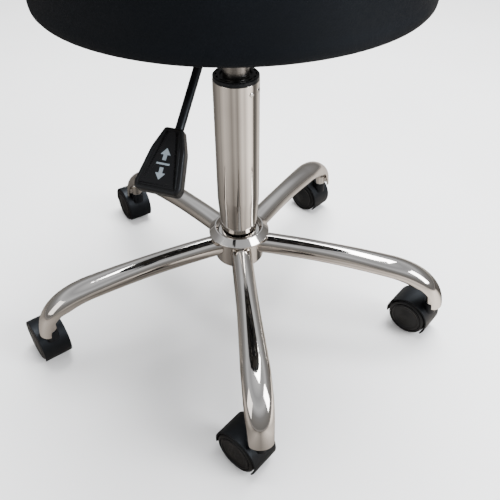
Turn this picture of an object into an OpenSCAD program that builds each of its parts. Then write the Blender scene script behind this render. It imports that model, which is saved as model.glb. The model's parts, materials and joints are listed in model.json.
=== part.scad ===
// Rolling pedicure stool: five-leg tubular base on twin-wheel casters, gas-lift column with a
// release lever, and a round padded seat. Millimetres, +Z up, origin on the floor under the column.

/* [Base] */
// Distance from the column axis to each caster's swivel axis
caster_reach = 250; // [220:1:300]
// Outer diameter of the round part of a leg
leg_d = 26; // [22:1:28]
// Width of a leg where it flattens over the caster
leg_end_w = 32; // [30:1:40]
// Height of a leg's axis where it leaves the hub
leg_root_z = 114.6; // [110:0.2:118]
// Height of a leg's cut lower end
leg_tip_z = 54.5; // [54:0.5:60]
// Height of the hub's lip
hub_top_z = 137.6; // [130:0.2:145]
// Height of the hub's lower face
hub_bottom_z = 92; // [80:1:98]

/* [Casters] */
// Wheel diameter
wheel_d = 50; // [40:1:60]
// Distance from the swivel axis to the axle
caster_trail = 20.5; // [18:0.5:26]
// Width of the caster's hood
hood_w = 35; // [32:1:42]
// Direction of the stem from the axle: front, right, back right, back left and left caster
caster_yaw = [313, 314, 310, 297, 302]; // [0:1:359]

/* [Column] */
// Outer diameter of the column tube
column_d = 50; // [46:1:60]
// Height of the column's top, with its bush
column_top_z = 336; // [300:1:380]
// Outer diameter of the sliding gas cylinder
piston_d = 28; // [24:1:30]

/* [Seat] */
// Seat diameter
seat_d = 375; // [330:1:420]
// Height of the seat's underside
seat_bottom_z = 421; // [400:1:440]
// Padded thickness above the underside
seat_h = 78; // [60:1:100]
// Direction in which the release lever points
lever_azimuth = 245; // [200:1:300]

/* [Hidden] */
$fn = 96;

SIDES = ["front", "right", "back_right", "back_left", "left"];
LEG_PITCH = 72;
RUNNING = 0.05; // radial clearance of a running fit

column_r = column_d / 2;
piston_r = piston_d / 2;
wheel_r = wheel_d / 2;
leg_r = leg_d / 2;
column_wall = 2;
column_foot_z = 86;
column_rim_z = column_top_z - 5;
bush_foot_z = column_top_z - 70;
rivet_z = column_top_z - 15;
taper_top_z = 184;
rod_r = 5;
plate_t = 2.5;
plate_z = seat_bottom_z - plate_t;
board_t = 12;
board_r = seat_d / 2 - 9;
board_top_z = seat_bottom_z + board_t;
bolt_pitch = 120;
socket_foot_z = seat_bottom_z - 42;
cone_top_z = socket_foot_z + 19;
cylinder_foot_z = 158;
lever_z = seat_bottom_z - 15;
lever_pivot_r = 34;
lever_drop = 39;
lever_bend_r = 60;
lever_rod_d = 8;
blade_h = 9.4;
paddle_start = 100.5;
paddle_l = 58;
paddle_w = 43;
paddle_shift = -3;
rod_grip = 32;
paddle_t = 12;

function leg_angle(i) = -90 + LEG_PITCH * i;

// A point of the leg's axis in its own radial plane: a shallow arch, then a bend to vertical.
function cubic(p, t) = pow(1 - t, 3) * p[0] + 3 * pow(1 - t, 2) * t * p[1]
    + 3 * (1 - t) * pow(t, 2) * p[2] + pow(t, 3) * p[3];
function cubic_way(p, t) = pow(1 - t, 2) * (p[1] - p[0]) + 2 * (1 - t) * t * (p[2] - p[1])
    + pow(t, 2) * (p[3] - p[2]);
leg_knee = [caster_reach - 64, leg_root_z - 10.1];
leg_arch = [[25.8, leg_root_z], [80, leg_root_z + 0.6], [140, leg_root_z - 3.6], leg_knee];
leg_bend = [leg_knee, [caster_reach - 33, leg_root_z - 13.1],
    [caster_reach, leg_root_z - 28.6], [caster_reach + 3, leg_tip_z]];
function leg_axis(s) = s < 1 ? cubic(leg_arch, s) : cubic(leg_bend, s - 1);
function leg_way(s) = s < 1 ? cubic_way(leg_arch, s) : cubic_way(leg_bend, s - 1);
function ease(t) = let (c = max(0, min(1, t))) c * c * (3 - 2 * c);
// Half width and half height of a leg along its axis
function leg_half_w(s) = leg_r + (leg_end_w / 2 - leg_r) * ease((s - 0.45) / 0.75)
    - 1.8 * ease((s - 1.45) / 0.55);
function leg_half_h(s) = leg_r - 0.6 * ease((s - 0.7) / 0.5) - 1.9 * ease((s - 1.3) / 0.7);

function ring(s, grow, open) =
    let (p = leg_axis(s), w = leg_way(s), n = w / norm(w), up = [-n[1], n[0]])
    [for (k = [0 : LEG_SIDES - 1])
        let (a = 360 * k / LEG_SIDES,
            across = (leg_half_w(s) + grow) * cos(a),
            rise = (leg_half_h(s) + grow) * sin(a) - (sin(a) < 0 ? open : 0))
        [p[0] + up[0] * rise, across, p[1] + up[1] * rise]];
LEG_SIDES = 20;
LEG_STATIONS = [0, 0.35, 0.6, 0.8, 0.95, 1.06, 1.18, 1.3, 1.42, 1.54, 1.66, 1.78, 1.9, 2];

module sweep(rings) {
    n = len(rings[0]);
    m = len(rings);
    sides = [for (j = [0 : m - 2]) for (k = [0 : n - 1])
        [j * n + k, (j + 1) * n + k, (j + 1) * n + (k + 1) % n, j * n + (k + 1) % n]];
    ends = [[for (k = [0 : n - 1]) k], [for (k = [n - 1 : -1 : 0]) (m - 1) * n + k]];
    polyhedron([for (one = rings) each one], concat(sides, ends), convexity = 6);
}

// Tubular leg, hollow, its underside cut open round the caster socket
module leg(i) {
    wall = 1.8;
    color("silver")
    rotate([0, 0, leg_angle(i)])
    difference() {
        sweep([for (s = LEG_STATIONS) ring(s, 0, 0)]);
        sweep(concat([[for (p = ring(0, -wall, 0)) [p[0] - 1, p[1], p[2]]]],
            [for (s = LEG_STATIONS) if (s > 0 && s < 2) ring(s, -wall, 14 * ease((s - 1.2) / 0.2))],
            [[for (p = ring(2, -wall, 14)) [p[0], p[1], p[2] - 1]]]));
    }
}

module hub() {
    body_r = 30.4;
    flange_r = 37.5;
    flange_z = leg_root_z + 13.7;
    counterbore_r = 25.6;
    color("silver")
    difference() {
        rotate_extrude()
        polygon([[20.8, hub_bottom_z], [29, hub_bottom_z], [body_r, hub_bottom_z + 1.5],
            [body_r, flange_z], [flange_r, flange_z], [flange_r, flange_z + 2.2],
            [30.2, hub_top_z], [29.2, hub_top_z], [26.4, hub_top_z - 3.2],
            [25.8, flange_z + 1], [21.7, flange_z + 1]]);
        for (i = [0 : 4])
            rotate([0, 0, leg_angle(i)])
            translate([counterbore_r, 0, leg_root_z])
            rotate([0, 90, 0])
            cylinder(r = leg_r + RUNNING, h = 12);
    }
}

module at_caster(i, yaw) {
    rotate([0, 0, leg_angle(i)])
    translate([caster_reach, 0, 0])
    rotate([0, 0, yaw - leg_angle(i)])
    children();
}

socket_z = 57;
socket_h = 12;
stem_r = 5.5;
pivot_r = 4;
pivot_foot_z = 46;
shoulder_h = 1.5;

// Socket for the caster's stem, with a tab welded across the inside of the leg
module stem_socket(i) {
    tab_half = 12.1;
    tab_t = 3;
    color("silver")
    at_caster(i, 0)
    difference() {
        union() {
            translate([0, 0, socket_z])
            cylinder(r = 8, h = socket_h);
            rotate([0, 0, leg_angle(i)])
            translate([-tab_t / 2, -tab_half, socket_z + 3])
            cube([tab_t, 2 * tab_half, socket_h - 5]);
        }
        translate([0, 0, socket_z - 1])
        cylinder(r = stem_r + RUNNING, h = socket_h + 2);
    }
}

module caster_stem(i) {
    top = socket_z + socket_h;
    color("gainsboro")
    at_caster(i, 0)
    rotate_extrude()
    polygon([[0, pivot_foot_z], [pivot_r - 0.6, pivot_foot_z], [pivot_r, pivot_foot_z + 0.6],
        [pivot_r, socket_z - shoulder_h], [7, socket_z - shoulder_h], [7, socket_z],
        [stem_r, socket_z], [stem_r, top - 7], [stem_r - 0.7, top - 6.5],
        [stem_r - 0.7, top - 4.5], [stem_r, top - 4], [stem_r, top - 1.4],
        [stem_r - 1.4, top], [0, top]]);
}

hood_r = 28.2;
hood_inner_r = 26.6;
boss_r = 8.2;
web_half = 3.2;
// Height of the hood's cut edge above the axle, behind and in front
hood_cut = [-4.4, -16.2];

// Half-drum over both wheels, with the stem's boss in front and a web between the wheels
module caster_hood(i) {
    boss_top_z = socket_z - shoulder_h - 0.3;
    boss_foot_z = 40;
    space_w = hood_w / 2 - web_half + 2;
    cut_fall = atan((hood_cut[0] - hood_cut[1]) / (2 * hood_r - 5));
    color([0.09, 0.09, 0.1])
    at_caster(i, caster_yaw[i])
    difference() {
        union() {
            translate([-caster_trail, hood_w / 2, wheel_r])
            rotate([90, 0, 0])
            cylinder(r = hood_r, h = hood_w);
            translate([0, 0, boss_foot_z])
            cylinder(r = boss_r, h = boss_top_z - boss_foot_z);
        }
        // wheel space on each side of the web
        for (side = [-1, 1])
            translate([-caster_trail, side * (web_half + space_w / 2), wheel_r])
            rotate([90, 0, 0])
            cylinder(r = hood_inner_r, h = space_w, center = true);
        // straight-cut lower edge, lower in front than behind
        translate([-caster_trail, -hood_w, wheel_r + (hood_cut[0] + hood_cut[1]) / 2])
        rotate([0, cut_fall, 0])
        translate([-60, 0, -60])
        cube([120, 2 * hood_w, 60]);
        translate([0, 0, pivot_foot_z - 1])
        cylinder(r = pivot_r + RUNNING, h = 20);
        translate([-caster_trail, 0, wheel_r])
        rotate([90, 0, 0])
        cylinder(r = 3, h = 60, center = true);
    }
}

module caster_axle(i) {
    color("gainsboro")
    at_caster(i, caster_yaw[i])
    translate([-caster_trail, 0, wheel_r])
    rotate([90, 0, 0])
    cylinder(r = 2.98, h = hood_w - 3, center = true);
}

// One wheel of a pair: tyre, hub with a blind bore, and a dished face with a raised ring
module wheel(i, side) {
    inner = web_half + 0.5;
    face = hood_w / 2 + 0.5;
    color([0.12, 0.11, 0.1])
    at_caster(i, caster_yaw[i])
    translate([-caster_trail, 0, wheel_r])
    rotate([side > 0 ? -90 : 90, 0, 0])
    rotate_extrude()
    polygon([[2.98 + RUNNING, inner], [7, inner], [7, inner + 2], [20, inner + 2], [20, inner],
        [wheel_r - 1.5, inner], [wheel_r, inner + 1.5], [wheel_r, face - 2.5],
        [wheel_r - 0.7, face - 0.8], [wheel_r - 2.5, face], [wheel_r - 3.6, face],
        [wheel_r - 4.4, face - 0.7], [wheel_r - 5.4, face - 0.7], [wheel_r - 6.2, face + 0.2],
        [wheel_r - 12, face + 0.9], [0, face + 1.2], [0, face - 1.8], [2.98 + RUNNING, face - 1.8]]);
}

module column_tube() {
    r = column_r;
    w = column_wall;
    color("silver")
    difference() {
        rotate_extrude()
        polygon([[r - w - 4.4, column_foot_z], [r - 4.4, column_foot_z], [r - 3.45, hub_top_z - 9.6],
            [r - 2.1, 150], [r - 1, 166], [r - 0.3, 176], [r, taper_top_z], [r, column_rim_z],
            [r - w, column_rim_z], [r - w, taper_top_z], [r - w - 0.3, 176], [r - w - 1, 166],
            [r - w - 2.1, 150], [r - w - 3.45, hub_top_z - 9.6]]);
        for (a = RIVET_ANGLES)
            rotate([0, 0, a])
            translate([r - 5, 0, rivet_z])
            rotate([0, 90, 0])
            cylinder(r = 1.55, h = 8);
    }
}
RIVET_ANGLES = [-55, -24, 125, 156];

module bush_rivets() {
    color("gainsboro")
    for (a = RIVET_ANGLES)
        rotate([0, 0, a])
        translate([column_r - 4, 0, rivet_z])
        rotate([0, 90, 0])
        rotate_extrude()
        polygon([[0, 0], [1.5, 0], [1.5, 4.05], [2.7, 4.05], [2.4, 4.6], [1.5, 5], [0, 5.15]]);
}

module guide_bush() {
    bore_r = piston_r + RUNNING;
    slots = 16;
    color([0.08, 0.08, 0.08])
    difference() {
        rotate_extrude()
        polygon([[bore_r, bush_foot_z], [column_r - column_wall - 0.06, bush_foot_z],
            [column_r - column_wall - 0.06, column_rim_z], [column_r - 0.2, column_rim_z],
            [column_r - 0.2, column_top_z - 1], [column_r - 1.2, column_top_z],
            [bore_r + 3.4, column_top_z], [bore_r + 2.6, column_top_z - 1.6],
            [bore_r, column_top_z - 1.6]]);
        for (k = [0 : slots - 1])
            rotate([0, 0, 360 * (k + 0.5) / slots])
            translate([0, 0, column_top_z - 1.2])
            rotate_extrude(angle = 13)
            translate([20.2, 0])
            square([1.8, 2]);
        for (a = RIVET_ANGLES)
            rotate([0, 0, a])
            translate([column_r - 4.6, 0, rivet_z])
            rotate([0, 90, 0])
            cylinder(r = 1.55, h = 8);
    }
}

module disc(inner_r, outer_r, low_z, high_z) {
    translate([0, 0, low_z])
    difference() {
        cylinder(r = outer_r, h = high_z - low_z);
        translate([0, 0, -1])
        cylinder(r = inner_r, h = high_z - low_z + 2);
    }
}

module column_base_plate() {
    color("gray")
    disc(rod_r + RUNNING, column_r - column_wall - 4.5, column_foot_z + 0.5, column_foot_z + 4.5);
}

module thrust_bearing() {
    ball_r = 2.2;
    balls = 8;
    middle = column_foot_z + 4.6 + ball_r;
    color("gray") {
        difference() {
            disc(6.4, 13, middle - 0.9, middle + 0.9);
            for (k = [0 : balls - 1])
                rotate([0, 0, 360 * k / balls])
                translate([9.7, 0, middle - 2])
                cylinder(r = ball_r + 0.25, h = 4);
        }
        for (k = [0 : balls - 1])
            rotate([0, 0, 360 * k / balls])
            translate([9.7, 0, middle])
            sphere(r = ball_r);
    }
}

washer_z = column_foot_z + 9.2;

module bearing_washer() {
    color("gray")
    disc(rod_r + 0.1, 13, washer_z, washer_z + 2);
}

module gas_rod() {
    clip_z = column_foot_z - 2.6;
    color("gainsboro")
    rotate_extrude()
    polygon([[0, 79], [rod_r - 1, 79], [rod_r, 80], [rod_r, clip_z], [rod_r - 1, clip_z],
        [rod_r - 1, clip_z + 1.4], [rod_r, clip_z + 1.4], [rod_r, washer_z + 2.1],
        [8, washer_z + 2.1], [8, washer_z + 6], [rod_r, washer_z + 6], [rod_r, 276], [3.5, 276],
        [3.5, 288], [0, 288]]);
}

module retaining_clip() {
    clip_z = column_foot_z - 2.5;
    color("gray")
    difference() {
        disc(rod_r - 0.9, 9, clip_z, clip_z + 1.2);
        translate([0, -2, clip_z - 1])
        cube([12, 4, 4]);
    }
}

module bump_stop() {
    color([0.1, 0.1, 0.1])
    rotate_extrude()
    translate([rod_r + 0.1, washer_z + 6.1])
    polygon([[0, 0], [7, 0], [7, 3], [5.6, 4.5], [7, 6], [5.4, 9], [0, 9]]);
}

module piston_head() {
    color("gray")
    rotate_extrude()
    polygon([[3.55, 276.1], [11.4, 276.1], [11.4, 280], [10.2, 280.6], [10.2, 283.4], [11.4, 284],
        [11.4, 288], [3.55, 288]]);
}

module gas_cylinder() {
    wall = 2.5;
    color([0.35, 0.35, 0.36])
    rotate_extrude()
    polygon([[piston_r - wall, cylinder_foot_z], [piston_r - 0.6, cylinder_foot_z],
        [piston_r, cylinder_foot_z + 1], [piston_r, socket_foot_z], [piston_r - 0.6, cone_top_z],
        [piston_r - wall, cone_top_z]]);
}

module rod_gland() {
    color([0.1, 0.1, 0.1])
    disc(rod_r + RUNNING, piston_r - 2.55, cylinder_foot_z + 0.5, cylinder_foot_z + 17);
}

module valve_block() {
    color("gray")
    disc(pin_r + RUNNING, piston_r - 2.55, cone_top_z - 16, cone_top_z - 3);
}

pin_r = 4;
pin_top_z = lever_z - blade_h / 2 - 0.6;

module release_pin() {
    color("gainsboro")
    rotate_extrude()
    polygon([[0, cone_top_z - 12], [pin_r, cone_top_z - 12], [pin_r, pin_top_z - 1.6],
        [2.6, pin_top_z - 0.4], [0, pin_top_z]]);
}

module toward_lever() {
    rotate([0, 0, lever_azimuth])
    children();
}

module mechanism_socket() {
    outer_r = 20;
    color([0.1, 0.1, 0.1])
    difference() {
        translate([0, 0, socket_foot_z])
        cylinder(r = outer_r, h = plate_z - socket_foot_z);
        rotate_extrude()
        polygon([[0, socket_foot_z - 1], [piston_r + 0.04, socket_foot_z - 1],
            [piston_r + 0.04, socket_foot_z], [piston_r - 0.56, cone_top_z],
            [16, cone_top_z + 0.5], [16, plate_z + 1], [0, plate_z + 1]]);
        toward_lever()
        translate([-6, -4.2, cone_top_z + 0.5])
        cube([40, 8.4, 20]);
    }
}

module mechanism_plate() {
    side = 148;
    corner = 14;
    cheek_t = 2.5;
    color([0.1, 0.1, 0.1])
    difference() {
        union() {
            translate([0, 0, plate_z])
            linear_extrude(plate_t)
            difference() {
                union() {
                    square([side, side - 2 * corner], center = true);
                    square([side - 2 * corner, side], center = true);
                    for (x = [-1, 1], y = [-1, 1])
                        translate([x * (side / 2 - corner), y * (side / 2 - corner)])
                        circle(r = corner);
                }
                for (x = [-1, 1], y = [-1, 1])
                    translate([x * bolt_pitch / 2, y * bolt_pitch / 2])
                    circle(r = 3.4);
            }
            // cheeks that hold the lever's pivot
            toward_lever()
            for (y = [-1, 1])
                translate([lever_pivot_r - 9, y * 5.6 - cheek_t / 2, lever_z - 7])
                cube([18, cheek_t, plate_z - lever_z + 7]);
            // stiffening ribs
            toward_lever()
            for (a = [90, 180, 270])
                rotate([0, 0, a])
                translate([20.1, -1.25, plate_z - 12])
                cube([34, 2.5, 12]);
        }
        toward_lever()
        translate([lever_pivot_r, 0, lever_z])
        rotate([90, 0, 0])
        cylinder(r = 2.52, h = 30, center = true);
    }
}

module lever_pivot() {
    color("gainsboro")
    toward_lever()
    translate([lever_pivot_r, 0, lever_z])
    rotate([90, 0, 0])
    rotate_extrude()
    polygon([[0, -8.4], [2, -8.4], [2.5, -7.9], [2.5, 7.1], [4, 7.1], [4, 8.6], [0, 8.6]]);
}

module mounting_bolts() {
    color("dimgray")
    for (x = [-1, 1], y = [-1, 1])
        translate([x * bolt_pitch / 2, y * bolt_pitch / 2, 0])
        union() {
            translate([0, 0, plate_z - 4.05])
            cylinder(r = 5.6, h = 4, $fn = 6);
            translate([0, 0, plate_z - 1.65])
            cylinder(r = 7, h = 1.6);
            translate([0, 0, plate_z - 1])
            cylinder(r = 3, h = board_t + plate_t);
        }
}

module tee_nuts() {
    color("gray")
    for (x = [-1, 1], y = [-1, 1])
        translate([x * bolt_pitch / 2, y * bolt_pitch / 2, 0]) {
            disc(3.05, 4.2, seat_bottom_z + 2, board_top_z - 1);
            disc(3.05, 9.5, board_top_z - 1.6, board_top_z - 0.1);
        }
}

module seat_board() {
    color("burlywood")
    difference() {
        translate([0, 0, seat_bottom_z])
        cylinder(r = board_r, h = board_t);
        for (x = [-1, 1], y = [-1, 1])
            translate([x * bolt_pitch / 2, y * bolt_pitch / 2, seat_bottom_z - 1]) {
                cylinder(r = 4.25, h = board_t + 2);
                translate([0, 0, board_t - 0.65])
                cylinder(r = 9.6, h = 4);
            }
    }
}

seat_r = seat_d / 2;
seat_top_z = seat_bottom_z + seat_h;

module seat_foam() {
    foam_r = seat_r - 5;
    color("khaki")
    rotate_extrude()
    polygon([[0, board_top_z + 0.1], [foam_r, board_top_z + 0.1], [foam_r, seat_top_z - 26],
        [foam_r - 3, seat_top_z - 15], [foam_r - 11, seat_top_z - 8],
        [foam_r - 30, seat_top_z - 5.5], [0, seat_top_z - 4]]);
}

// Leatherette cover pulled over the foam and folded under the board
module seat_cover() {
    lip_r = 150;
    color([0.1, 0.1, 0.11])
    rotate_extrude()
    polygon([[lip_r, seat_bottom_z - 2], [seat_r - 7, seat_bottom_z - 2],
        [seat_r - 2.5, seat_bottom_z - 0.5], [seat_r - 0.5, seat_bottom_z + 3],
        [seat_r, seat_bottom_z + 7], [seat_r, seat_top_z - 26],
        [seat_r - 2, seat_top_z - 14], [seat_r - 10, seat_top_z - 5],
        [seat_r - 30, seat_top_z - 1], [0, seat_top_z], [0, seat_top_z - 3.6],
        [seat_r - 35, seat_top_z - 5], [seat_r - 15.5, seat_top_z - 7.6],
        [seat_r - 7.6, seat_top_z - 15], [seat_r - 4.6, seat_top_z - 26],
        [seat_r - 4.6, seat_bottom_z + 5], [seat_r - 7, seat_bottom_z - 0.1],
        [lip_r, seat_bottom_z - 0.1]]);
}

// Lever: flat blade inside the mechanism, then a round rod that drops towards the paddle
module lever_rod() {
    r = lever_rod_d / 2;
    color([0.08, 0.08, 0.08])
    toward_lever()
    difference() {
        union() {
            translate([-5, -3, lever_z - blade_h / 2])
            cube([lever_bend_r - 10, 6, blade_h]);
            translate([lever_pivot_r, 0, lever_z])
            rotate([90, 0, 0])
            cylinder(r = 6, h = 6, center = true);
            translate([38, 0, lever_z])
            rotate([0, 90, 0])
            cylinder(r = r, h = lever_bend_r - 38);
            translate([lever_bend_r, 0, lever_z])
            sphere(r = r + 0.4);
            on_drop()
            cylinder(r = r, h = paddle_start + rod_grip);
        }
        translate([lever_pivot_r, 0, lever_z])
        rotate([90, 0, 0])
        cylinder(r = 2.5 + RUNNING, h = 20, center = true);
    }
}

// Frame of the rod's straight drop: +Z runs down along it
module on_drop() {
    translate([lever_bend_r, 0, lever_z])
    rotate([0, 90 + lever_drop, 0])
    children();
}

// The paddle widens from the rod to rounded lower corners
module paddle_outline() {
    corner_r = 9;
    hull()
    for (x = [-1, 1]) {
        translate([x * 5, 3])
        circle(r = 3, $fn = 32);
        translate([x * 9.5, 21])
        circle(r = 6, $fn = 32);
        translate([x * (paddle_w / 2 - corner_r), paddle_l - corner_r])
        circle(r = corner_r, $fn = 48);
    }
}

module lever_paddle() {
    color([0.14, 0.12, 0.11])
    toward_lever()
    on_drop()
    translate([0, 0, paddle_start])
    difference() {
        rotate([90, 0, 90])
        translate([paddle_shift, 0, -paddle_t / 2])
        linear_extrude(paddle_t)
        paddle_outline();
        translate([0, 0, -10])
        cylinder(r = lever_rod_d / 2 + 0.02, h = rod_grip + 10.2);
    }
}

hub();
leg(0);  // leg_front
leg(1);  // leg_right
leg(2);  // leg_back_right
leg(3);  // leg_back_left
leg(4);  // leg_left
stem_socket(0);  // stem_socket_front
stem_socket(1);  // stem_socket_right
stem_socket(2);  // stem_socket_back_right
stem_socket(3);  // stem_socket_back_left
stem_socket(4);  // stem_socket_left
caster_stem(0);  // caster_stem_front
caster_stem(1);  // caster_stem_right
caster_stem(2);  // caster_stem_back_right
caster_stem(3);  // caster_stem_back_left
caster_stem(4);  // caster_stem_left
caster_hood(0);  // caster_hood_front
caster_hood(1);  // caster_hood_right
caster_hood(2);  // caster_hood_back_right
caster_hood(3);  // caster_hood_back_left
caster_hood(4);  // caster_hood_left
caster_axle(0);  // caster_axle_front
caster_axle(1);  // caster_axle_right
caster_axle(2);  // caster_axle_back_right
caster_axle(3);  // caster_axle_back_left
caster_axle(4);  // caster_axle_left
wheel(0, 1);  // wheel_front_a
wheel(0, -1);  // wheel_front_b
wheel(1, 1);  // wheel_right_a
wheel(1, -1);  // wheel_right_b
wheel(2, 1);  // wheel_back_right_a
wheel(2, -1);  // wheel_back_right_b
wheel(3, 1);  // wheel_back_left_a
wheel(3, -1);  // wheel_back_left_b
wheel(4, 1);  // wheel_left_a
wheel(4, -1);  // wheel_left_b
column_tube();
guide_bush();
bush_rivets();
column_base_plate();
thrust_bearing();
gas_rod();
bearing_washer();
bump_stop();
piston_head();
retaining_clip();
gas_cylinder();
rod_gland();
valve_block();
mechanism_socket();
mechanism_plate();
lever_pivot();
mounting_bolts();
tee_nuts();
seat_board();
seat_foam();
seat_cover();
release_pin();
lever_rod();
lever_paddle();
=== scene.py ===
"""Looks of the pedicure stool: chromed five-leg base on casters, gas-lift column, padded seat.

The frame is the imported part's own: metres, +Z up, the floor at z = 0, the column on the Z axis
and the front towards -Y. Shapes are worked out in millimetres and scaled when their mesh is made.
"""

import json
import math

import bpy
from mathutils import Matrix, Vector
from mathutils.bvhtree import BVHTree


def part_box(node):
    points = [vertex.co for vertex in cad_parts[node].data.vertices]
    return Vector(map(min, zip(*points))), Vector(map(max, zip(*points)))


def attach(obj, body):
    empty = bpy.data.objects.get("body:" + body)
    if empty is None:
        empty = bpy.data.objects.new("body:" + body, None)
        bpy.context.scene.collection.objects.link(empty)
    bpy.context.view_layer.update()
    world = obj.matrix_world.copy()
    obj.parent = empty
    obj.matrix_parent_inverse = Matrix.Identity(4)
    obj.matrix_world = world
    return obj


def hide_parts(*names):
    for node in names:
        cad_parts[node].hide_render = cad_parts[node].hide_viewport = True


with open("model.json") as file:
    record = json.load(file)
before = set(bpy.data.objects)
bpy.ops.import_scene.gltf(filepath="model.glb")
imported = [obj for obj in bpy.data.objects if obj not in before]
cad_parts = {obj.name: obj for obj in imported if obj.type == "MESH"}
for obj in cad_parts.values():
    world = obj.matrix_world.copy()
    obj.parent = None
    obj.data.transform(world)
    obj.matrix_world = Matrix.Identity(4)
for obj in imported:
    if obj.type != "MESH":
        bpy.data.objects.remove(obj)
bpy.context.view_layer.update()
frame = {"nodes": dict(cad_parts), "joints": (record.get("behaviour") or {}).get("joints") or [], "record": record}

MM = 0.001
SIDES = ("front", "right", "back_right", "back_left", "left")
ARC_STEPS = 4  # chords of a rounded corner


# ---------------------------------------------------------------- mesh helpers


def box_mm(node):
    """Lowest and highest corner of a CAD node, in millimetres."""
    low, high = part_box(node)
    return low / MM, high / MM


def middle_mm(node):
    low, high = box_mm(node)
    return (low + high) / 2


def ease(t):
    """Smooth step from 0 to 1."""
    t = max(0.0, min(1.0, t))
    return t * t * (3 - 2 * t)


def rounded(corners, closed=True):
    """Outline of 2-D points through corners (x, y, radius), each rounded by an arc."""
    outline = []
    last = len(corners) - 1
    for k, (x, y, radius) in enumerate(corners):
        here = Vector((x, y))
        if radius == 0 or (not closed and k in (0, last)):
            outline.append(here)
            continue
        back = Vector(corners[k - 1][:2]) - here
        on = Vector(corners[(k + 1) % len(corners)][:2]) - here
        half = back.angle(on) / 2
        reach = min(radius / math.tan(half), 0.49 * back.length, 0.49 * on.length)
        radius = reach * math.tan(half)
        inward = (back.normalized() + on.normalized()).normalized()
        centre = here + inward * radius / math.sin(half)
        start = here + back.normalized() * reach - centre
        end = here + on.normalized() * reach - centre
        sweep = start.angle(end)
        for step in range(ARC_STEPS + 1):
            t = step / ARC_STEPS
            arm = start * math.sin((1 - t) * sweep) + end * math.sin(t * sweep)
            outline.append(centre + arm / math.sin(sweep))
    return outline


def loft(rings, ring_closed=True, ends="caps", loop=False):
    """Points and faces of a surface through rings of equal count. ends is caps or open."""
    count = len(rings[0])
    points = [p for ring in rings for p in ring]
    faces = []
    around = count if ring_closed else count - 1
    along = len(rings) if loop else len(rings) - 1
    for j in range(along):
        low, high = j * count, (j + 1) % len(rings) * count
        for k in range(around):
            n = (k + 1) % count
            faces.append((low + k, low + n, high + n, high + k))
    if ends == "caps" and not loop:
        faces.append(tuple(reversed(range(count))))
        faces.append(tuple(range(len(points) - count, len(points))))
    return points, faces


def lathe(outline, segments=144, closed=True):
    """Points and faces of an outline of (radius, height) points turned round Z."""
    points, rings, faces = [], [], []
    for radius, height in outline:
        if radius < 1e-6:
            rings.append([len(points)] * segments)
            points.append(Vector((0, 0, height)))
            continue
        rings.append(list(range(len(points), len(points) + segments)))
        for k in range(segments):
            a = 2 * math.pi * k / segments
            points.append(Vector((radius * math.cos(a), radius * math.sin(a), height)))
    pairs = list(zip(rings, rings[1:]))
    if closed:
        pairs.append((rings[-1], rings[0]))
    for low, high in pairs:
        for k in range(segments):
            n = (k + 1) % segments
            corners = list(dict.fromkeys((low[k], low[n], high[n], high[k])))
            if len(corners) > 2:
                faces.append(corners)
    return points, faces


def piece(name, shape, material, body, nodes=(), place=None, flat_angle=None):
    """A Blender object from (points in mm, faces), riding on its body in place of CAD nodes."""
    points, faces = shape
    place = place or Matrix.Identity(4)
    mesh = bpy.data.meshes.new(name)
    mesh.from_pydata([(place @ Vector(p)) * MM for p in points], [], faces)
    mesh.validate()
    mesh.materials.append(material)
    made = bpy.data.objects.new(name, mesh)
    bpy.context.scene.collection.objects.link(made)
    tidy_normals(made, flat_angle)
    if body:
        settle(made, body, nodes)
    return made


def tidy_normals(made, flat_angle=None):
    """Faces turned outwards and shaded smooth, large faces ruling the normals."""
    bpy.context.view_layer.objects.active = made
    for other in bpy.context.selected_objects:
        other.select_set(False)
    made.select_set(True)
    bpy.ops.object.mode_set(mode="EDIT")
    bpy.ops.mesh.select_all(action="SELECT")
    bpy.ops.mesh.normals_make_consistent(inside=False)
    bpy.ops.object.mode_set(mode="OBJECT")
    if flat_angle:
        bpy.ops.object.shade_smooth_by_angle(angle=math.radians(flat_angle))
    else:
        bpy.ops.object.shade_smooth()
    weighted = made.modifiers.new("weighted normals", "WEIGHTED_NORMAL")
    weighted.keep_sharp = True
    made.select_set(False)


def settle(made, body, nodes):
    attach(made, body)
    if nodes:
        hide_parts(*nodes)


# ------------------------------------------------------------------- materials


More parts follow.
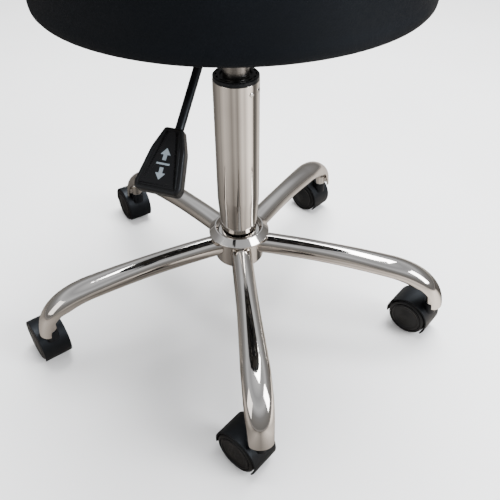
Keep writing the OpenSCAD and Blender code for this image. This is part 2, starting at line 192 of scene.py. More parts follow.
class Surface:
    """A Principled material being made, with its procedural inputs."""

    def __init__(self, name, **constants):
        self.material = bpy.data.materials.new(name)
        self.material.use_nodes = True
        self.tree = self.material.node_tree
        self.shader = self.tree.nodes["Principled BSDF"]
        for socket, value in constants.items():
            self.shader.inputs[socket.replace("_", " ")].default_value = value
        self.place = self.tree.nodes.new("ShaderNodeTexCoord").outputs["Object"]

    def feed(self, socket, value):
        self.tree.links.new(value, self.shader.inputs[socket])

    def stretched(self, x, y, z):
        mapping = self.tree.nodes.new("ShaderNodeMapping")
        mapping.inputs["Scale"].default_value = (x, y, z)
        self.tree.links.new(self.place, mapping.inputs["Vector"])
        return mapping.outputs["Vector"]

    def noise(self, scale, detail=3.0, place=None):
        made = self.tree.nodes.new("ShaderNodeTexNoise")
        made.inputs["Scale"].default_value = scale
        made.inputs["Detail"].default_value = detail
        self.tree.links.new(place or self.place, made.inputs["Vector"])
        return made.outputs["Fac"]

    def cells(self, scale, feature="F1", output="Distance"):
        made = self.tree.nodes.new("ShaderNodeTexVoronoi")
        made.feature = feature
        made.inputs["Scale"].default_value = scale
        self.tree.links.new(self.place, made.inputs["Vector"])
        return made.outputs[output]

    def ranged(self, value, low, high, first, second):
        """value between low and high becomes first to second."""
        made = self.tree.nodes.new("ShaderNodeMapRange")
        made.inputs["From Min"].default_value = low
        made.inputs["From Max"].default_value = high
        made.inputs["To Min"].default_value = first
        made.inputs["To Max"].default_value = second
        self.tree.links.new(value, made.inputs["Value"])
        return made.outputs["Result"]

    def summed(self, a, b, operation="ADD"):
        made = self.tree.nodes.new("ShaderNodeMath")
        made.operation = operation
        for socket, value in zip(made.inputs, (a, b)):
            if isinstance(value, (int, float)):
                socket.default_value = value
            else:
                self.tree.links.new(value, socket)
        return made.outputs["Value"]

    def coloured(self, value, *stops):
        """value through a colour ramp of (position, colour) stops."""
        made = self.tree.nodes.new("ShaderNodeValToRGB")
        elements = made.color_ramp.elements
        while len(elements) < len(stops):
            elements.new(0.5)
        for element, (position, colour) in zip(elements, stops):
            element.position = position
            element.color = (*colour, 1)
        self.tree.links.new(value, made.inputs["Fac"])
        return made.outputs["Color"]

    def bump(self, height, distance, strength=1.0):
        made = self.tree.nodes.new("ShaderNodeBump")
        made.inputs["Strength"].default_value = strength
        made.inputs["Distance"].default_value = distance
        self.tree.links.new(height, made.inputs["Height"])
        self.feed("Normal", made.outputs["Normal"])


def polished_metal(name, dark, light, rough, wave=0.00004):
    """Plated or polished metal with a faint wave and fine wiping marks."""
    s = Surface(name, Metallic=1.0)
    cloud = s.noise(14, 2)
    s.feed("Base Color", s.coloured(cloud, (0.35, dark), (0.7, light)))
    wiped = s.noise(70, 4, s.stretched(1, 1, 0.35))
    s.feed("Roughness", s.ranged(wiped, 0.3, 0.75, rough[0], rough[1]))
    s.bump(s.noise(42, 1), wave)
    return s.material


def moulded_plastic(name, dark, light, rough, grain_scale, grain_depth):
    """Black moulded plastic with a spark-eroded texture and slight scuffing."""
    s = Surface(name, Specular_IOR_Level=0.2, Specular_Tint=(0.82, 0.90, 1.0, 1.0))
    s.feed("Base Color", s.coloured(s.noise(55, 5), (0.3, dark), (0.75, light)))
    s.feed("Roughness", s.ranged(s.noise(120, 4), 0.3, 0.7, rough[0], rough[1]))
    s.bump(s.noise(grain_scale, 2), grain_depth)
    return s.material


def brushed_metal(name, dark, light, rough, along=(1, 1, 1)):
    """Turned, brushed or zinc-plated steel. along stretches its marks."""
    s = Surface(name, Metallic=1.0)
    marks = s.noise(420, 4, s.stretched(*along))
    s.feed("Base Color", s.coloured(marks, (0.3, dark), (0.7, light)))
    s.feed("Roughness", s.ranged(marks, 0.25, 0.75, rough[0], rough[1]))
    s.bump(marks, 0.00002)
    return s.material


def leatherette():
    """Black upholstery leatherette: pebbled cells with fine creases between them."""
    s = Surface("leatherette", Specular_IOR_Level=0.11, Specular_Tint=(0.72, 0.86, 1.0, 1.0))
    tone = s.noise(9, 3)
    dark, light = (0.0025, 0.0029, 0.0039), (0.0043, 0.0050, 0.0067)
    s.feed("Base Color", s.coloured(tone, (0.3, dark), (0.75, light)))
    pebble = s.cells(820)
    crease = s.ranged(s.cells(430, "DISTANCE_TO_EDGE"), 0.0, 0.09, 0.0, 1.0)
    fine = s.noise(2600, 3)
    grain = s.summed(s.ranged(pebble, 0, 0.9, 0.6, 0), crease)
    relief = s.summed(grain, s.summed(fine, 0.5, "MULTIPLY"))
    s.feed("Roughness", s.ranged(s.noise(300, 4), 0.3, 0.7, 0.50, 0.62))
    s.bump(relief, 0.00007)
    return s.material


def plywood():
    """Plywood stained black: long grain on its faces and thin plies along its edge."""
    s = Surface("plywood", Roughness=0.6, Specular_IOR_Level=0.25)
    grain = s.noise(45, 6, s.stretched(1, 9, 1))
    plies = s.tree.nodes.new("ShaderNodeTexWave")
    plies.bands_direction = "Z"
    plies.inputs["Scale"].default_value = 130
    plies.inputs["Distortion"].default_value = 0.4
    s.tree.links.new(s.place, plies.inputs["Vector"])
    grain_share = s.summed(grain, 0.75, "MULTIPLY")
    both = s.summed(grain_share, s.summed(plies.outputs["Fac"], 0.25, "MULTIPLY"))
    dark, light = (0.008, 0.007, 0.0065), (0.016, 0.014, 0.012)
    s.feed("Base Color", s.coloured(both, (0.25, dark), (0.75, light)))
    s.bump(grain, 0.0002)
    return s.material


def foam():
    """Cream polyurethane foam with open cells."""
    s = Surface("foam", Roughness=0.9)
    cells = s.cells(900)
    s.feed("Base Color", s.coloured(cells, (0.1, (0.55, 0.47, 0.28)), (0.7, (0.78, 0.70, 0.48))))
    s.bump(cells, 0.0004)
    return s.material


MATERIALS = {
    "chrome_tube": polished_metal(
        "chrome_tube", (0.58, 0.55, 0.52), (0.67, 0.64, 0.605), (0.045, 0.12)
    ),
    "hood_plastic": moulded_plastic(
        "hood_plastic", (0.0025, 0.0026, 0.003), (0.0045, 0.0048, 0.0055), (0.42, 0.55), 2400, 0.00003
    ),
    "wheel_plastic": moulded_plastic(
        "wheel_plastic", (0.004, 0.0036, 0.0033), (0.008, 0.0073, 0.0066), (0.30, 0.46), 1500, 0.00002
    ),
    "zinc_steel": brushed_metal("zinc_steel", (0.50, 0.51, 0.53), (0.70, 0.71, 0.72), (0.24, 0.42)),
    "bush_plastic": moulded_plastic(
        "bush_plastic", (0.004, 0.004, 0.0045), (0.007, 0.007, 0.0075), (0.28, 0.42), 1800, 0.00002
    ),
    "bright_steel": brushed_metal("bright_steel", (0.66, 0.65, 0.63), (0.82, 0.81, 0.79), (0.14, 0.26)),
    "cylinder_steel": brushed_metal(
        "cylinder_steel", (0.16, 0.155, 0.15), (0.26, 0.25, 0.24), (0.22, 0.38), (0.15, 0.15, 4)
    ),
    "rod_chrome": polished_metal("rod_chrome", (0.76, 0.77, 0.78), (0.86, 0.87, 0.88), (0.06, 0.14)),
    "black_rubber": moulded_plastic(
        "black_rubber", (0.012, 0.012, 0.012), (0.024, 0.024, 0.024), (0.65, 0.85), 900, 0.00005
    ),
    "black_paint": moulded_plastic(
        "black_paint", (0.004, 0.004, 0.0045), (0.008, 0.008, 0.0085), (0.30, 0.45), 520, 0.00005
    ),
    "plywood": plywood(),
    "foam": foam(),
    "leatherette": leatherette(),
    "paddle_plastic": moulded_plastic(
        "paddle_plastic", (0.005, 0.0046, 0.0043), (0.009, 0.008, 0.0073), (0.34, 0.48), 1700, 0.00003
    ),
}
THREAD = moulded_plastic(
    "thread", (0.004, 0.004, 0.005), (0.008, 0.008, 0.009), (0.5, 0.6), 2000, 0.00003
)
PRINT_WHITE = moulded_plastic(
    "print_white", (0.24, 0.29, 0.32), (0.36, 0.42, 0.46), (0.45, 0.6), 1200, 0.00001
)


def finish_cad_nodes():
    """Every carried-over CAD node gets its slot's procedural material."""
    slot_of = {part["node"]: part["material_slot"] for part in frame["record"]["subparts"]}
    for name, made in frame["nodes"].items():
        made.data.materials.clear()
        made.data.materials.append(MATERIALS[slot_of[name]])


# ---------------------------------------------------------- camera and lighting


def add_camera():
    """Camera at the photograph's height and angle, looking down at the base."""
    place = Vector((-0.0408, -0.5737, 0.5909))
    yaw, pitch, roll = 0.095, 0.7113, -0.004
    lens = 42.04
    data = bpy.data.cameras.new("camera")
    data.sensor_width = 36
    data.lens = lens
    data.clip_start = 0.01
    camera = bpy.data.objects.new("camera", data)
    turn = Matrix.Rotation(-yaw, 4, "Z") @ Matrix.Rotation(math.pi / 2 - pitch, 4, "X")
    camera.matrix_world = Matrix.Translation(place) @ turn @ Matrix.Rotation(roll, 4, "Z")
    bpy.context.scene.collection.objects.link(camera)
    bpy.context.scene.camera = camera


def add_floor():
    """Plain pale studio floor, large enough to reach the horizon in low views."""
    mesh = bpy.data.meshes.new("floor")
    reach = 9.0
    corners = [(-reach, -reach, 0), (reach, -reach, 0), (reach, reach, 0), (-reach, reach, 0)]
    mesh.from_pydata(corners, [], [(0, 1, 2, 3)])
    s = Surface("floor", Roughness=0.7, Specular_IOR_Level=0.25)
    dark, light = (0.86, 0.85, 0.84), (0.90, 0.89, 0.88)
    s.feed("Base Color", s.coloured(s.noise(3, 2), (0.3, dark), (0.7, light)))
    mesh.materials.append(s.material)
    floor = bpy.data.objects.new("floor", mesh)
    bpy.context.scene.collection.objects.link(floor)


def add_reflection_card():
    """Card on the floor, seen only in reflections: darker sectors for the chrome to mirror."""
    count, reach, height = 96, 8.5, 0.001
    turns = [math.tau * k / count for k in range(count)]
    rim = [(reach * math.cos(a), reach * math.sin(a), height) for a in turns]
    wedges = [(0, k + 1, (k + 1) % count + 1) for k in range(count)]
    mesh = bpy.data.meshes.new("reflection_card")
    mesh.from_pydata([(0, 0, height)] + rim, [], wedges)
    s = Surface("reflection_card", Roughness=0.8, Specular_IOR_Level=0.1)
    sector = s.tree.nodes.new("ShaderNodeTexGradient")
    sector.gradient_type = "RADIAL"
    s.tree.links.new(s.place, sector.inputs["Vector"])
    tones = (
        (0.0, 0.17), (0.06, 0.30), (0.12, 0.24), (0.17, 0.13), (0.21, 0.22), (0.25, 0.12), (0.31, 0.42),
        (0.35, 0.30), (0.41, 0.62), (0.46, 0.50), (0.488, 0.025), (0.545, 0.06), (0.606, 0.30),
        (0.75, 0.10), (0.878, 0.05), (0.97, 0.14),
    )
    stops = [(place, (tone, tone * 0.90, tone * 0.80)) for place, tone in tones]
    s.feed("Base Color", s.coloured(sector.outputs["Fac"], *stops))
    mesh.materials.append(s.material)
    card = bpy.data.objects.new("reflection_card", mesh)
    card.visible_camera = False
    card.visible_diffuse = False
    card.visible_shadow = False
    card.visible_transmission = False
    bpy.context.scene.collection.objects.link(card)


def add_world():
    """Soft studio surround: bright overhead, darker towards the horizon."""
    world = bpy.data.worlds.new("studio")
    bpy.context.scene.world = world
    world.use_nodes = True
    nodes, links = world.node_tree.nodes, world.node_tree.links
    split = nodes.new("ShaderNodeSeparateXYZ")
    ramp = nodes.new("ShaderNodeValToRGB")
    stops = (
        (0.0, (0.62, 0.60, 0.58)),
        (0.48, (0.62, 0.60, 0.58)),
        (0.53, (0.24, 0.235, 0.23)),
        (0.62, (0.30, 0.295, 0.29)),
        (0.72, (0.36, 0.365, 0.375)),
        (0.82, (0.85, 0.88, 0.92)),
        (0.93, (0.55, 0.57, 0.60)),
        (1.0, (0.90, 0.93, 0.97)),
    )
    elements = ramp.color_ramp.elements
    while len(elements) < len(stops):
        elements.new(0.5)
    for element, (position, colour) in zip(elements, stops):
        element.position = position
        element.color = (*colour, 1)
    lift = nodes.new("ShaderNodeMapRange")
    lift.inputs["From Min"].default_value = -1
    place = nodes.new("ShaderNodeTexCoord")
    links.new(place.outputs["Generated"], split.inputs["Vector"])
    links.new(split.outputs["Z"], lift.inputs["Value"])
    links.new(lift.outputs["Result"], ramp.inputs["Fac"])
    links.new(ramp.outputs["Color"], nodes["Background"].inputs["Color"])
    nodes["Background"].inputs["Strength"].default_value = 1.0


def add_light(name, place, target, size, power, colour=(1, 1, 1)):
    """A soft rectangular area light aimed at target."""
    data = bpy.data.lights.new(name, "AREA")
    data.shape = "RECTANGLE"
    data.size, data.size_y = size
    data.energy = power
    data.color = colour
    light = bpy.data.objects.new(name, data)
    light.location = place
    light.rotation_euler = (Vector(target) - Vector(place)).to_track_quat("-Z", "Y").to_euler()
    bpy.context.scene.collection.objects.link(light)


def add_lights():
    middle = (0, 0, 0.2)
    add_light("overhead", (0.3, 0.5, 2.3), middle, (1.6, 1.6), 185, (0.96, 0.98, 1.0))
    add_light("window_right", (1.7, -0.9, 1.3), middle, (0.9, 1.3), 66, (0.95, 0.97, 1.0))
    add_light("fill_left", (-1.8, -1.0, 1.0), middle, (1.2, 1.2), 12, (1.0, 0.97, 0.94))


# ------------------------------------------------------------------------ base

LEG_PITCH = math.radians(72)
LEG_ROOT = 114.6
LEG_WALL = 1.8


def leg_angle(i):
    return -math.pi / 2 + LEG_PITCH * i


def cubic(p, t):
    return (1 - t) ** 3 * p[0] + 3 * (1 - t) ** 2 * t * p[1] + 3 * (1 - t) * t**2 * p[2] + t**3 * p[3]


def cubic_way(p, t):
    return (1 - t) ** 2 * (p[1] - p[0]) + 2 * (1 - t) * t * (p[2] - p[1]) + t**2 * (p[3] - p[2])


class LegLine:
    """A leg's axis in its radial plane: a shallow arch, then a bend down to the caster."""

    def __init__(self):
        reach = middle_mm("caster_stem_right").xy.length
        tip_z = box_mm("leg_front")[0].z
        knee = Vector((reach - 64, LEG_ROOT - 10.1))
        root = Vector((25.8, LEG_ROOT))
        self.arch = (root, Vector((80, LEG_ROOT + 0.6)), Vector((140, LEG_ROOT - 3.6)), knee)
        over = Vector((reach - 33, LEG_ROOT - 13.1))
        down = Vector((reach, LEG_ROOT - 28.6))
        self.bend = (knee, over, down, Vector((reach + 3, tip_z)))

    def at(self, s):
        """Point and direction at s, from 0 at the hub, over 1 at the knee, to 2 at the tip."""
        if s < 1:
            return cubic(self.arch, s), cubic_way(self.arch, s).normalized()
        return cubic(self.bend, s - 1), cubic_way(self.bend, s - 1).normalized()


def leg_half_w(s):
    return 13 + 3 * ease((s - 0.45) / 0.75) - 1.8 * ease((s - 1.45) / 0.55)


def leg_half_h(s):
    return 13 - 0.6 * ease((s - 0.7) / 0.5) - 1.9 * ease((s - 1.3) / 0.7)


def leg_section(line, s):
    """C-shaped section of the tube wall at s. Its gap, underneath, opens towards the tip."""
    point, way = line.at(s)
    up = Vector((-way.y, way.x))
    gap = math.radians(0.6 + 76 * ease((s - 1.16) / 0.42))
    steps = 56

    def on_wall(inset, share):
        angle = -math.pi / 2 + gap + share * (2 * math.pi - 2 * gap)
        across = (leg_half_w(s) - inset) * math.cos(angle)
        rise = (leg_half_h(s) - inset) * math.sin(angle)
        here = point + up * rise
        return Vector((here.x, across, here.y))

    outer = [on_wall(0, k / steps) for k in range(steps + 1)]
    inner = [on_wall(LEG_WALL, k / steps) for k in range(steps, -1, -1)]
    return outer + inner


def add_legs():
    line = LegLine()
    stations = [k / 70 for k in range(70)] + [1 + k / 60 for k in range(61)]
    for i, side in enumerate(SIDES):
        shape = loft([leg_section(line, s) for s in stations])
        turn = Matrix.Rotation(leg_angle(i), 4, "Z")
        node = "leg_" + side
        piece(
            "tube_" + node, shape, MATERIALS["chrome_tube"], "base", [node], turn, 50
        )


def add_hub():
    low, high = box_mm("hub")
    flange_r = high.x
    flange_z = LEG_ROOT + 13.7
    outline = rounded(
        [
            (20.8, low.z, 0.5), (29, low.z, 1.0), (30.4, low.z + 1.5, 1.0),
            (30.4, flange_z, 0.6), (flange_r, flange_z, 0.5), (flange_r, flange_z + 2.2, 0.7),
            (30.2, high.z, 0.6), (29.2, high.z, 0.4), (26.4, high.z - 3.2, 1.0),
            (25.8, flange_z + 1, 1.2), (21.7, flange_z + 1, 0.3),
        ]
    )
    piece("ring_hub", lathe(outline), MATERIALS["chrome_tube"], "base", ["hub"])


def add_column():
    low, high = box_mm("column_tube")
    r, wall = high.x, 2
    hub_top = box_mm("hub")[1].z
    outside = [(r - 4.4, low.z), (r - 3.45, hub_top - 9.6), (r - 2.1, 150), (r - 1, 166)]
    outside += [(r - 0.3, 176), (r, 184)]
    corners = [(x, z, 25) for x, z in outside]
    corners += [(r, high.z, 0.5), (r - wall, high.z, 0.5)]
    corners += [(x - wall, z, 25) for x, z in reversed(outside)]
    corners[0] = (*outside[0], 0.4)
    corners[-1] = (outside[0][0] - wall, outside[0][1], 0.4)
    shape = lathe(rounded(corners))
    piece("tube_column", shape, MATERIALS["chrome_tube"], "base", ["column_tube"])


# --------------------------------------------------------------------- casters


def merged(*shapes):
    """One (points, faces) shape of several."""
    points, faces = [], []
    for more_points, more_faces in shapes:
        start = len(points)
        points += more_points
        faces += [tuple(start + k for k in face) for face in more_faces]
    return points, faces


def joint(name):
    return next(j for j in frame["joints"] if j["name"] == name)


def axes_place(origin, x, y, z):
    """Matrix that puts local axes x, y, z at origin (mm)."""
    turn = Matrix((x, y, z)).transposed().to_4x4()
    return Matrix.Translation(origin) @ turn


class Hood:
    """Half-drum over a pair of wheels. Local origin at the axle, +X towards the stem, +Y along it."""

    outer_r = 28.2
    inner_r = 26.6
    half_w = 17.5
    web_half = 3.2
    tilt = math.radians(12.93)
    drop = 10.04  # distance from the axle to the plane of the cut edge
    boss_foot = 15.0  # least height of the neck's foot above the axle

    def ends(self, radius):
        """Angles at which a circle of that radius meets the cut edge, in front and behind."""
        dip = math.asin(self.drop / radius)
        return -self.tilt - dip, math.pi - self.tilt + dip

    def shell(self):
        corners = [
            (self.half_w, self.inner_r, 0.5), (self.half_w, self.outer_r, 1.1),
            (-self.half_w, self.outer_r, 1.1), (-self.half_w, self.inner_r, 0.5),
        ]
        section = rounded(corners)
        steps = 90
        rings = []
        for k in range(steps + 1):
            ring = []
            for y, radius in section:
                first, last = self.ends(radius)
                a = first + (last - first) * k / steps
                ring.append(Vector((radius * math.cos(a), y, radius * math.sin(a))))
            rings.append(ring)
        return loft(rings)

    def web(self):
        radius = self.inner_r + 0.6
        first, last = self.ends(radius)
        steps = 60
        arc = [first + (last - first) * k / steps for k in range(steps + 1)]
        rings = [
            [Vector((radius * math.cos(a), y, radius * math.sin(a))) for a in arc]
            for y in (-self.web_half, self.web_half)
        ]
        return loft(rings)

    def boss(self, trail, top):
        """Neck round the stem, its foot following the drum."""
        radius, bore, steps = 8.2, 4.1, 48
        wall = (self.outer_r + self.inner_r) / 2
        angles = [2 * math.pi * k / steps for k in range(steps)]

        def circle(r, height):
            """Ring of radius r. height is a number or a function of the point's x."""
            ring = []
            for a in angles:
                x, y = trail + r * math.cos(a), r * math.sin(a)
                ring.append(Vector((x, y, height(x) if callable(height) else height)))
            return ring

        def foot(x):
            return math.sqrt(max(wall**2 - x**2, self.boss_foot**2))

        edge = ((radius, 1.0), (radius - 0.3, 0.3), (radius - 1.0, 0), (bore + 0.4, 0), (bore, 0.4))
        rings = [circle(radius, foot)]
        rings += [circle(r, top - down) for r, down in edge]
        rings.append(circle(bore, foot))
        return loft(rings, loop=True)


def wheel_outline():
    """Half-section of one wheel: (radius, distance from the caster's middle plane)."""
    r, inner, face = 25.0, 3.7, 18.0
    return rounded(
        [
            (3.03, inner, 0.2), (7, inner, 0.5), (7, inner + 2, 0.5), (20, inner + 2, 0.5),
            (20, inner, 0.5), (r - 1.5, inner, 0.8), (r, inner + 1.5, 1.0), (r, face - 2.5, 1.2),
            (r - 0.7, face - 0.8, 1.0), (r - 2.5, face, 0.8), (r - 3.4, face, 0.3),
            (r - 3.9, face - 1.1, 0.25), (r - 4.9, face - 1.1, 0.25), (r - 5.4, face + 0.1, 0.3),
            (r - 7.2, face + 0.5, 0.6), (r - 8.6, face - 0.3, 1.2), (r - 12.5, face - 0.2, 3),
            (4.2, face + 1.1, 2), (0, face + 1.2, 0), (0, face - 1.8, 0), (3.03, face - 1.8, 0),
        ]
    )


def add_casters():
    hood = Hood()
    up = Vector((0, 0, 1))
    for side in SIDES:
        stem = Vector(joint("caster_swivel_" + side)["pos_m"]) / MM
        roll = joint("wheel_roll_%s_a" % side)
        axle = Vector(roll["pos_m"]) / MM
        along = Vector(roll["axis"]).normalized()
        ahead = along.cross(up)
        trail = (stem - axle).xy.length
        boss_top = box_mm("caster_hood_" + side)[1].z - axle.z
        place = axes_place(axle, ahead, along, up)
        shape = merged(hood.shell(), hood.web(), hood.boss(trail, boss_top))
        piece(
            "hood_" + side, shape, MATERIALS["hood_plastic"], "caster_" + side,
            ["caster_hood_" + side], place, 40,
        )
        for letter, way in (("a", 1), ("b", -1)):
            place = axes_place(axle, up, ahead * way, along * way)
            body = "wheel_%s_%s_body" % (side, letter)
            piece(
                "roller_%s_%s" % (side, letter), lathe(wheel_outline(), 96), MATERIALS["wheel_plastic"],
                body, ["wheel_%s_%s" % (side, letter)], place, 30,
            )


# ----------------------------------------------------------------------- lever


LEVER_DROP = math.radians(39)
PIVOT_TO_BEND = 26
BLADE_LENGTH = 39  # from the blade's inner end to the pivot
PADDLE_START = 100.5
PADDLE_SHIFT = -3.0
ROD_GRIP = 32  # length of rod inside the paddle


def lever_frame():
    """Local axes at the rod's bend: +Z down along the rod, +Y level, -X the paddle's seen face."""
    axis = Vector(joint("lever_lift")["axis"])
    out = Vector((-axis.y, axis.x, 0))
    pivot = Vector(joint("lever_lift")["pos_m"]) / MM
    along = out * math.cos(LEVER_DROP) - Vector((0, 0, 1)) * math.sin(LEVER_DROP)
    level = Vector((-out.y, out.x, 0))
    bend = pivot + out * PIVOT_TO_BEND
    return axes_place(bend, level.cross(along), level, along), out, level, pivot


def add_lever_rod():
    place, out, level, pivot = lever_frame()
    bend = place.to_translation()
    along = Vector(place.col[2][:3])
    start = pivot - out * BLADE_LENGTH
    rod_end = PADDLE_START + ROD_GRIP
    path, blend_r = [], 16
    for k in range(13):
        path.append(start.lerp(bend - out * blend_r, k / 12))
    for k in range(1, 12):
        t = k / 12
        a = (bend - out * blend_r).lerp(bend, t)
        b = bend.lerp(bend + along * blend_r, t)
        path.append(a.lerp(b, t))
    for k in range(14):
        path.append(bend + along * (blend_r + (rod_end - blend_r) * k / 13))
    rings, travelled = [], 0.0
    steps = 32
    for k, here in enumerate(path):
        before, after = path[max(k - 1, 0)], path[min(k + 1, len(path) - 1)]
        travelled += (here - before).length
        way = (after - before).normalized()
        rise = level.cross(way).normalized()
        blade = 1 - ease((travelled - 38) / 14)
        half_w = 4.0 - 1.0 * blade
        half_h = 4.0 + 0.7 * blade
        power = 2 / (2 + 6 * blade)
        ring = []
        for j in range(steps):
            a = 2 * math.pi * j / steps
            c, s = math.cos(a), math.sin(a)
            across = half_w * math.copysign(abs(c) ** power, c)
            lift = half_h * math.copysign(abs(s) ** power, s)
            ring.append(here + level * across + rise * lift)
        rings.append(ring)
    piece(
        "rod_lever", loft(rings), MATERIALS["black_paint"], "lever",
        ["lever_rod"], None, 50,
    )


def paddle_outline():
    """Outline (across, along) of the lever's paddle, narrow at the rod."""
    return rounded(
        [
            (-8.3, 0, 3.2), (8.3, 0, 3.2), (15.9, 19.5, 30), (21.7, 52, 9), (19.5, 58, 9),
            (-19.5, 58, 9), (-21.7, 52, 9), (-15.9, 19.5, 30),
        ]
    )


def inset(outline, distance):
    """Outline moved inwards by distance along its normals."""
    moved = []
    count = len(outline)
    for k, here in enumerate(outline):
        way = (outline[(k + 1) % count] - outline[k - 1]).normalized()
        moved.append(here + Vector((-way.y, way.x)) * distance)
    return moved


def add_lever_paddle():
    place = lever_frame()[0]
    outline = paddle_outline()
    levels = (
        (6.0, 5.0), (6.0, 2.2), (5.6, 1.0), (4.6, 0.25), (3.6, 0), (-3.6, 0), (-4.6, 0.25), (-5.6, 1.0),
        (-6.0, 2.0), (-6.0, 3.4), (-5.5, 3.7), (-5.5, 4.2), (-5.8, 4.5), (-5.8, 6.5),
    )
    rings = [
        [Vector((x, PADDLE_SHIFT + p.x, PADDLE_START + p.y)) for p in inset(outline, by)]
        for x, by in levels
    ]
    piece(
        "paddle_lever", loft(rings), MATERIALS["paddle_plastic"], "lever",
        ["lever_paddle"], place, 40,
    )
    add_paddle_print(place)


def add_paddle_print(place):
    """Plain up and down arrows with a bar between them, printed on the paddle."""
    up_arrow = [(0, 19), (4.6, 25), (1.7, 25), (1.7, 30), (-1.7, 30), (-1.7, 25), (-4.6, 25)]
    bar = [(-6, 32.4), (6, 32.4), (6, 34), (-6, 34)]
    down_arrow = [(x, 66.4 - y) for x, y in reversed(up_arrow)]
    shapes = []
    for marks in (up_arrow, bar, down_arrow):
        rings = [
            [Vector((x, PADDLE_SHIFT + a, PADDLE_START + b)) for a, b in marks] for x in (-5.75, -5.86)
        ]
        shapes.append(loft(rings))
    piece("print_lever", merged(*shapes), PRINT_WHITE, "lever", (), place, 20)


# ------------------------------------------------------------------------ seat


class Seat:
    """Round cushion: a padded top and side in leatherette, folded under the board and stapled."""

    def __init__(self):
        low, high = box_mm("seat_cover")
        self.r = high.x
        self.low = low.z
        self.top = high.z

    def side(self, shrink):
        """Outline from the fold's edge under the board, round the side, to the middle of the top."""
        r, low, top = self.r - shrink, self.low, self.top - shrink
        corners = [
            (150, low + 0.4, 0), (r - 9, low + 0.4, 3), (r - 2.2, low + 2.5, 6), (r, low + 11, 20),
            (r, top - 26, 20), (r - 2.5, top - 13, 12), (r - 10, top - 5, 12), (r - 32, top - 0.8, 60),
            (60, top, 60), (0, top, 0),
        ]
        return rounded(corners, closed=False)

    def resampled(self, outline, count):
        """Outline points at even spacing."""
        lengths = [0.0]
        for a, b in zip(outline, outline[1:]):
            lengths.append(lengths[-1] + (b - a).length)
        points, k = [], 0
        for n in range(count + 1):
            want = lengths[-1] * n / count
            while k < len(outline) - 2 and lengths[k + 1] < want:
                k += 1
            share = (want - lengths[k]) / max(lengths[k + 1] - lengths[k], 1e-9)
            points.append(outline[k].lerp(outline[k + 1], min(max(share, 0), 1)))
        return points


VOXEL = 0.006
PRESSURE = 4
CLOTH_FRAMES = 20


def inflated(start_shape, low):
    """BVH of the cushion's shape after cloth under pressure has been settled, in millimetres."""
    points, faces = start_shape
    mesh = bpy.data.meshes.new("cushion_start")
    mesh.from_pydata([Vector(p) * MM for p in points], [], faces)
    made = bpy.data.objects.new("cushion_start", mesh)
    bpy.context.scene.collection.objects.link(made)
    bpy.context.view_layer.objects.active = made
    made.select_set(True)
    remesh = made.modifiers.new("remesh", "REMESH")
    remesh.mode = "VOXEL"
    remesh.voxel_size = VOXEL
    bpy.ops.object.modifier_apply(modifier="remesh")
    held = made.vertex_groups.new(name="held")
    under = [v.index for v in made.data.vertices if v.co.z < (low + 3.0) * MM]
    held.add(under, 1.0, "REPLACE")
    cloth = made.modifiers.new("cloth", "CLOTH")
    settings = cloth.settings
    settings.quality = 4
    settings.mass = 0.3
    settings.tension_stiffness = 25
    settings.compression_stiffness = 25
    settings.shear_stiffness = 10
    settings.bending_stiffness = 2
    settings.use_pressure = True
    settings.uniform_pressure_force = PRESSURE
    settings.vertex_group_mass = "held"
    settings.effector_weights.gravity = 0
    cloth.collision_settings.use_collision = False
    cloth.collision_settings.use_self_collision = False
    scene = bpy.context.scene
    for number in range(1, CLOTH_FRAMES + 1):
        scene.frame_set(number)
        made.update_tag()
    bpy.ops.object.modifier_apply(modifier="cloth")
    scene.frame_set(1)
    corners = [v.co / MM for v in made.data.vertices]
    tree = BVHTree.FromPolygons(corners, [p.vertices[:] for p in made.data.polygons])
    bpy.data.objects.remove(made)
    bpy.data.meshes.remove(mesh)
    return tree


SEAM_DROP = 12.0  # height of the top seam below the seat's top


def add_seat():
    seat = Seat()
    outline = seat.resampled(seat.side(0.0), 110)
    tree = None
    start = lathe([Vector((0, seat.low + 0.4))] + seat.side(2.4), 96, closed=False)
    tree = inflated(start, seat.low)
    segments = 240
    rings, ridge = [], []
    for k, (radius, height) in enumerate(outline[:-1]):
        back, on = outline[max(k - 1, 0)], outline[k + 1]
        way = (on - back).normalized()
        out = Vector((way.y, -way.x))
        free = ease((k - 12) / 8)
        ring = []
        for n in range(segments):
            a = 2 * math.pi * n / segments
            here = Vector((radius * math.cos(a), radius * math.sin(a), height))
            normal = Vector((out.x * math.cos(a), out.x * math.sin(a), out.y))
            moved = 0.0
            if tree:
                hit = tree.ray_cast(here - normal * 14, normal, 24)
                if hit[0]:
                    moved = max(-2.5, min(1.5, (hit[0] - here).dot(normal)))
            here += normal * moved * free
            seam = abs(height - (seat.top - SEAM_DROP))
            if k > 20:
                here -= normal * 0.9 * math.exp(-((seam / 1.1) ** 2))
            if radius < seat.r - 14 and k < 20:
                fold = math.sin(46 * a + 2.1 * math.sin(7 * a)) * ease((seat.r - 14 - radius) / 14)
                here.z -= 0.35 + 0.45 * fold
            ring.append(here)
        rings.append(ring)
    middle = Vector((0, 0, rings[-1][0].z))
    points, faces = loft(rings, ends="open")
    centre = len(points)
    points.append(middle)
    start = centre - segments
    faces += [(start + n, start + (n + 1) % segments, centre) for n in range(segments)]
    cover = piece("cushion_cover", (points, faces), MATERIALS["leatherette"], None)
    wall = cover.modifiers.new("thickness", "SOLIDIFY")
    wall.thickness = 0.0012
    wall.offset = -1
    settle(cover, "seat", ["seat_cover"])
    add_stitches(seat)


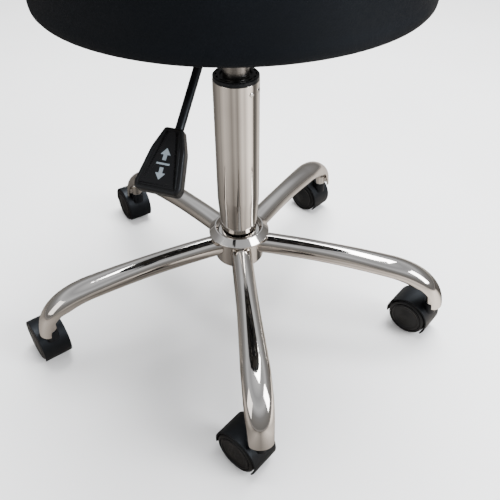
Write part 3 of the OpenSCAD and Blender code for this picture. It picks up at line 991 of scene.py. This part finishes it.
def add_stitches(seat):
    """A row of stitches just under the top seam."""
    thread_r, below_seam = 0.28, 2.6
    outline = seat.side(0.0)
    height = seat.top - SEAM_DROP - below_seam
    radius = next(
        a.x + (b.x - a.x) * (height - a.y) / (b.y - a.y)
        for a, b in zip(outline, outline[1:])
        if a.y <= height < b.y and a.x > seat.r - 20
    )
    shapes = []
    count = 260
    for k in range(count):
        a = 2 * math.pi * k / count
        half = 0.31 * 2 * math.pi / count
        rings = []
        for step in range(5):
            t = step / 4
            b = a + half * (2 * t - 1)
            lift = 0.42 * math.sin(math.pi * t) - 0.35
            ring = []
            for c in (0.5, 2.07, 3.64, 5.21):
                r = radius + lift + thread_r * math.cos(c)
                ring.append(Vector((r * math.cos(b), r * math.sin(b), height + thread_r * math.sin(c))))
            rings.append(ring)
        shapes.append(loft(rings))
    piece("stitches_seat", merged(*shapes), THREAD, "seat")


def add_staples():
    """Staples that hold the cover's fold to the board."""
    low = box_mm("seat_board")[0].z
    radius = 153.5
    shapes = []
    count, below_board = 72, 3.25
    for k in range(count):
        a = 2 * math.pi * k / count + 0.04 * math.sin(5.3 * k)
        place = Vector((radius + 1.2 * math.sin(3.1 * k), 0, low - below_board))
        turn = Matrix.Rotation(a, 4, "Z") @ Matrix.Translation(place)
        turn @= Matrix.Rotation(0.3 * math.sin(2.2 * k), 4, "Z")
        wire = [(0, -5, 1.6), (0, -5, 0), (0, 5, 0), (0, 5, 1.6)]
        rings = []
        for j, (x, y, z) in enumerate(wire):
            sign = -1 if j < 2 else 1
            rings.append([turn @ Vector(p) for p in (
                (x - 0.6, y + sign * 0.3, z - 0.3), (x + 0.6, y + sign * 0.3, z - 0.3),
                (x + 0.6, y - sign * 0.3, z + 0.3), (x - 0.6, y - sign * 0.3, z + 0.3))])
        shapes.append(loft(rings))
    piece("staples_seat", merged(*shapes), MATERIALS["zinc_steel"], "seat", (), None, 30)


# ------------------------------------------------------------------------ looks

finish_cad_nodes()
add_camera()
add_floor()
add_reflection_card()
add_world()
add_lights()
add_legs()
add_hub()
add_column()
add_casters()
add_lever_rod()
add_lever_paddle()
add_seat()
add_staples()
